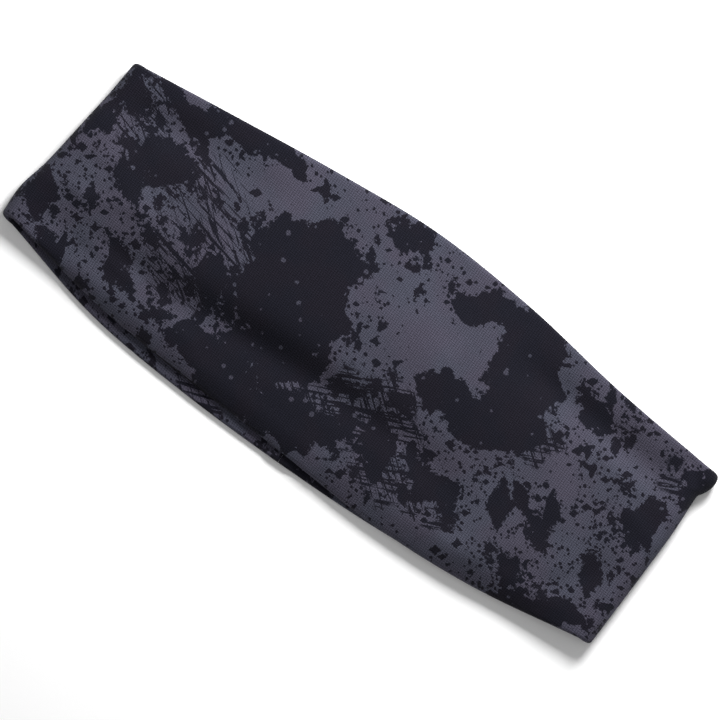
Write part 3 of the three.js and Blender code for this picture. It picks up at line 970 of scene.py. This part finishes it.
# ---- Pieces ----
class PrintedShell(bpy.types.Operator):
    """The printed knit: one closed strip round the loop, with both long edges rolled in as flanges"""

    bl_idname = "headband.printed_shell"
    bl_label = "Printed shell"

    def execute(self, context):
        loop = Loop()
        look = context.scene.band_cloth
        low = rolled_edge(loop, 0, look.flange_width)
        high = [reversed_part(part) for part in reversed(rolled_edge(loop, 1, look.flange_width))]
        width = context.scene.band_shape.front_upper_edge[3] - context.scene.band_shape.front_lower_edge[3]
        share = np.linspace(0, 1, round(width / look.grid))[1:-1]
        ribs = section(low[0], low[1], plain_ply(loop.roll_radius, loop.shell / 2, share), high[0], high[1])
        stations = loop.stations(loop_runs(loop, look.grid))
        piece, cloth = strip("printed_shell", loop, ribs, loop.shell, stations, printed_knit())
        for name, values in print_fields(cloth[:, 0], cloth[:, 1]).items():
            write_attribute(piece, name, values)
        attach(piece, "band")
        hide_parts("outer_shell")
        return {"FINISHED"}


class WickingLining(bpy.types.Operator):
    """The plain knit lining: one closed strip round the loop, tucked under both flanges"""

    bl_idname = "headband.wicking_lining"
    bl_label = "Wicking lining"

    def execute(self, context):
        loop = Loop()
        look = context.scene.band_cloth
        inset = look.flange_width - look.lining_tuck
        ply = plain_ply(inset, LINING_DEPTH + look.lining_thickness / 2, np.linspace(0, 1, 60))
        stations = loop.stations(loop_runs(loop, look.grid * 1.1))
        piece, _ = strip("wicking_lining", loop, section(ply), look.lining_thickness, stations, lining_knit())
        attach(piece, "band")
        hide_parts("inner_lining")
        return {"FINISHED"}


# The edge seam: its thread starts this far from the centre back. The cover stitch swings by this much to
# each side of a line just past the flange's raw edge, and steps down onto the lining between two distances
# from that edge. The chain runs this far back from it, and bobs a little.
EDGE_CLEAR = 0.5 * MM
COVER_PAST_EDGE = 0.3 * MM
COVER_SWING = 1.9 * MM
COVER_STEP = (-0.1 * MM, 0.9 * MM)
CHAIN_BACK = 2.6 * MM
CHAIN_BOB = 0.12 * MM


class EdgeStitching(bpy.types.Operator):
    """The cover stitching that holds each flange's raw edge down on the lining, and its straight chain"""

    bl_idname = "headband.edge_stitching"
    bl_label = "Edge stitching"

    def execute(self, context):
        loop = Loop()
        flange = context.scene.band_cloth.flange_width
        sewing = context.scene.band_sewing
        material = sewing_thread()
        radius = sewing.thread_diameter / 2
        stitches = round((loop.length() - 2 * EDGE_CLEAR) / sewing.edge_pitch)
        run, pitch = stitched(EDGE_CLEAR, loop.length() - EDGE_CLEAR, stitches)
        route = loop.stations(run)
        flange_top = loop.wall_depth + radius
        lining_top = loop.lining_face + radius
        swing = flange + COVER_PAST_EDGE - COVER_SWING * zigzag(run - run[0], pitch)
        step = smooth_step(swing, flange + COVER_STEP[0], flange + COVER_STEP[1])
        bob = CHAIN_BOB * np.sin(2 * math.pi * (run - run[0]) / pitch)
        lines = (
            ("cover", swing, mix(flange_top, lining_top, step)),
            ("chain", flange - CHAIN_BACK + bob, flange_top + bob / 2),
        )
        for share, sign, word in ((0, 1, "lower"), (1, -1, "upper")):
            for line, inset, depth in lines:
                name = f"{word}_edge_{line}_stitch"
                piece = sewn(name, loop, *route, share, sign * inset, depth, material)
                if line == "cover":
                    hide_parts(f"{word}_edge_seam_thread")
        return {"FINISHED"}


# The back seam: how far its stitching stays from the shell's edge and, inside, from the flange, how far the
# looper swings to each side, and where the two needle lines run.
OUTER_SEAM_INSET = 2.2 * MM
INNER_SEAM_CLEAR = 3 * MM
LOOPER_SWING = 1.75 * MM
NEEDLE_ASIDE = 1.5 * MM


class BackSeam(bpy.types.Operator):
    """The flat seam across the centre back: a zigzag and two needle lines outside, and the same inside"""

    bl_idname = "headband.back_seam"
    bl_label = "Centre back seam"

    def execute(self, context):
        loop = Loop()
        sewing = context.scene.band_sewing
        material = sewing_thread()
        radius = sewing.thread_diameter / 2
        low, high = loop.edges(0, 0)
        width = high - low
        inner_inset = context.scene.band_cloth.flange_width + INNER_SEAM_CLEAR
        for word, inset, face, outward in (
            ("outer", OUTER_SEAM_INSET, -radius, -1),
            ("inner", inner_inset, loop.lining_face + radius, 1),
        ):
            stitches = round((width - 2 * inset) / sewing.back_pitch)
            run, pitch = stitched(inset, width - inset, stitches)
            wave = zigzag(run - run[0], pitch)
            needle_depth = face + 0.25 * radius * wave
            for line, aside, depth in (
                ("looper", LOOPER_SWING * wave, face + outward * 0.6 * radius),
                ("left_needle", -NEEDLE_ASIDE + 0 * run, needle_depth),
                ("right_needle", NEEDLE_ASIDE + 0 * run, needle_depth),
            ):
                piece = sewn(f"{word}_back_{line}_stitch", loop, aside, 0, 0, run, depth, material)
                if line == "looper":
                    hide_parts(f"{word}_back_seam_thread")
        return {"FINISHED"}


# A bartack starts this far in from the edge, ends just past the flange's raw edge, and swings to each side.
BARTACK_START = 3.5 * MM
BARTACK_PAST_EDGE = 0.1 * MM
BARTACK_SWING = 1.6 * MM
BARTACK_STITCHES = 11


class Bartacks(bpy.types.Operator):
    """The two dense tacks that lock the cross seam over the flanges"""

    bl_idname = "headband.bartacks"
    bl_label = "Bartacks"

    def execute(self, context):
        loop = Loop()
        end = context.scene.band_cloth.flange_width + BARTACK_PAST_EDGE
        material = sewing_thread()
        run, pitch = stitched(BARTACK_START, end, BARTACK_STITCHES)
        aside = BARTACK_SWING * zigzag(run - run[0], pitch)
        depth = loop.wall_depth + context.scene.band_sewing.thread_diameter / 2
        for share, sign, word in ((0, 1, "lower"), (1, -1, "upper")):
            piece = sewn(f"{word}_bartack_stitch", loop, aside, 0, share, sign * run, depth, material)
            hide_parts(f"{word}_bartack")
        return {"FINISHED"}


# The label's ribbon, how high it curls at its free end and how much more at its two long edges, with a slight
# ripple, what share of its width it loses there, and what share of its fold's height the stitches take at the
# sewn end, over what run.
RIBBON = 0.2 * MM
LABEL_CURL = 0.35 * MM
EDGE_CURL = 0.45 * MM
CURL_RIPPLE = 0.12 * MM
LABEL_TAPER = 0.012
CAUGHT_SHARE = 0.45
CAUGHT_RUN = 1.5 * MM
# The tack over that end: how far it stays in from the label's two edges, which is also how far its line lies
# from the edge of the stitches' box, its swing to each side, and its number of stitches.
TACK_INSET = 0.6 * MM
TACK_SWING = 0.75 * MM
TACK_STITCHES = 12


class CareLabel(bpy.types.Operator):
    """The blank satin label, folded at its free end and sewn to the lining along its other end"""

    bl_idname = "headband.care_label"
    bl_label = "Care label"

    def execute(self, context):
        low, high = (np.array(corner) for corner in LABEL_BOX)
        size = high - low
        fold = (size[2] - RIBBON) / 2
        reach_out = size[0] - fold - RIBBON / 2
        # the ribbon's middle line: out along the lower ply, round the fold, and back along the upper ply
        out = np.linspace(0, reach_out, 24)
        bend = np.linspace(0, math.pi, 9)[1:-1]
        x = np.concatenate([out, reach_out + fold * np.sin(bend), out[::-1]])
        z = np.concatenate([0 * out, fold * (1 - np.cos(bend)), 2 * fold + 0 * out])
        nx = np.concatenate([0 * out, np.sin(bend), 0 * out])
        nz = np.concatenate([-1 + 0 * out, -np.cos(bend), 1 + 0 * out])
        across = np.linspace(-1, 1, 19)[None, :]
        faces = []
        for side in (-1, 1):
            px = (x + side * nx * RIBBON / 2)[:, None] + 0 * across
            pz = (z + side * nz * RIBBON / 2)[:, None]
            # it curls up towards its free end, and its two long edges a little more
            free = (px / size[0]) ** 2
            curl = free * (LABEL_CURL + EDGE_CURL * across**2 + CURL_RIPPLE * np.sin(2.6 * across))
            # the upper ply is caught down at the sewn end
            caught = 1 - CAUGHT_SHARE * np.exp(-px / CAUGHT_RUN)
            py = across * size[1] / 2 * (1 - LABEL_TAPER * free)
            faces.append(np.stack(np.broadcast_arrays(px, py, RIBBON / 2 + pz * caught + curl), axis=-1))
        points = np.concatenate([faces[0], faces[1][::-1]]).reshape(-1, 3) + (low[0], 0, low[2])
        quads = strip_faces(len(x), across.shape[1]).tolist()
        piece = new_object("folded_care_label", points, quads, label_satin())
        run = np.concatenate([[0], np.cumsum(np.hypot(np.diff(x), np.diff(z)))])[:, None]
        cloth = np.stack(np.broadcast_arrays(run / MM, across * size[1] / 2 / MM, 0), axis=-1)
        write_attribute(piece, "cloth", np.concatenate([cloth, cloth[::-1]]).reshape(-1, 3))
        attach(piece, "label")
        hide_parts("care_label")
        return {"FINISHED"}


class LabelTack(bpy.types.Operator):
    """The short stitches over the label's sewn end"""

    bl_idname = "headband.label_tack"
    bl_label = "Label tack"

    def execute(self, context):
        loop = Loop()
        radius = context.scene.band_sewing.thread_diameter / 2
        low, high = (np.array(corner) for corner in LABEL_BOX)
        run, pitch = stitched(low[1] + TACK_INSET, high[1] - TACK_INSET, TACK_STITCHES)
        x = LABEL_STITCH_BOX[0].x + TACK_INSET + TACK_SWING * zigzag(run - run[0], pitch)
        over = smooth_step(x, low[0] - 0.2 * MM, low[0] + 0.15 * MM)
        depth = mix(loop.lining_face + radius, LABEL_BOX[1].z - 0.1 * MM + radius, over)
        edge = loop.edges(x, 0)[0]
        piece = sewn("label_tack_stitch", loop, x, 0, 0, run - edge, depth, sewing_thread())
        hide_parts("care_label_stitch")
        return {"FINISHED"}


# ---- Stage ----
# Half the floor's side, in metres.
FLOOR_HALF = 3.0
# The overhead box's power as a share of the key's, and where the camera stands over the band.
FILL_SHARE = 0.24
CAMERA_SHIFT = (2.74 * MM, -2.74 * MM)


def soft_box(name, place, aim, size, power):
    """A square area light at a place that faces a point."""
    light = bpy.data.lights.new(name, "AREA")
    light.size = size
    light.energy = power
    lamp = bpy.data.objects.new(name, light)
    lamp.location = place
    lamp.rotation_euler = (Vector(aim) - Vector(place)).to_track_quat("-Z", "Y").to_euler()
    bpy.context.scene.collection.objects.link(lamp)


class StudioSetting(bpy.types.Operator):
    """The pale floor, the soft lights, the white room and the camera above the band"""

    bl_idname = "headband.studio_setting"
    bl_label = "Studio"

    def execute(self, context):
        scene = context.scene
        look = scene.studio_stage
        corners = FLOOR_HALF * np.array([(-1, -1, 0), (1, -1, 0), (1, 1, 0), (-1, 1, 0)])
        floor = new_object("floor", corners, [[0, 1, 2, 3]], studio_floor())

        soft_box("key_box", (0.0, 0.34, 0.32), (0, 0, 0), 0.20, look.key_power)
        soft_box("fill_box", (0.0, 0.0, 0.80), (0, 0, 0), 0.50, look.key_power * FILL_SHARE)
        room = bpy.data.worlds.new("white_room")
        room.use_nodes = True
        # bright at the horizon, softer overhead
        sky = room.node_tree.nodes
        height = sky.new("ShaderNodeSeparateXYZ")
        fade = sky.new("ShaderNodeMapRange")
        fade.inputs["From Max"].default_value = 0.5
        fade.inputs["To Min"].default_value = look.horizon_strength
        fade.inputs["To Max"].default_value = look.world_strength
        links = room.node_tree.links
        links.new(sky.new("ShaderNodeTexCoord").outputs["Generated"], height.inputs[0])
        links.new(height.outputs["Z"], fade.inputs["Value"])
        links.new(fade.outputs[0], sky["Background"].inputs["Strength"])
        sky["Background"].inputs["Color"].default_value = (1.0, 1.0, 1.0, 1.0)
        scene.world = room
        scene.view_settings.view_transform = "Standard"

        camera = bpy.data.objects.new("camera", bpy.data.cameras.new("camera"))
        camera.data.lens = look.lens
        camera.data.clip_start = 0.01
        camera.location = (*CAMERA_SHIFT, look.camera_height)
        camera.rotation_euler = (0, 0, look.camera_roll)
        scene.collection.objects.link(camera)
        scene.camera = camera
        return {"FINISHED"}


# ---- Panel and registration ----
BUILDERS = (
    PrintedShell, WickingLining, EdgeStitching, BackSeam, Bartacks, CareLabel, LabelTack, StudioSetting,
)
SETTINGS = {
    "band_shape": BandShape, "band_cloth": BandCloth, "band_sewing": BandSewing, "studio_stage": StudioStage,
}


class HeadbandPanel(bpy.types.Panel):
    """Lists the band's settings and the operators that build it"""

    bl_idname = "VIEW3D_PT_headband"
    bl_label = "Sports headband"
    bl_space_type = "VIEW_3D"
    bl_region_type = "UI"
    bl_category = "Headband"

    def draw(self, context):
        for name, group in SETTINGS.items():
            box = self.layout.box()
            for key in group.__annotations__:
                box.prop(getattr(context.scene, name), key)
        for builder in BUILDERS:
            self.layout.operator(builder.bl_idname)


CLASSES = (*SETTINGS.values(), *BUILDERS, HeadbandPanel)


def register():
    for kind in CLASSES:
        bpy.utils.register_class(kind)
    for name, group in SETTINGS.items():
        setattr(bpy.types.Scene, name, PointerProperty(type=group))


def unregister():
    for name in SETTINGS:
        delattr(bpy.types.Scene, name)
    for kind in reversed(CLASSES):
        bpy.utils.unregister_class(kind)


def main():
    register()
    bpy.ops.headband.printed_shell()
    bpy.ops.headband.wicking_lining()
    bpy.ops.headband.edge_stitching()
    bpy.ops.headband.back_seam()
    bpy.ops.headband.bartacks()
    bpy.ops.headband.care_label()
    bpy.ops.headband.label_tack()
    bpy.ops.headband.studio_setting()


if __name__ == "__main__":
    main()
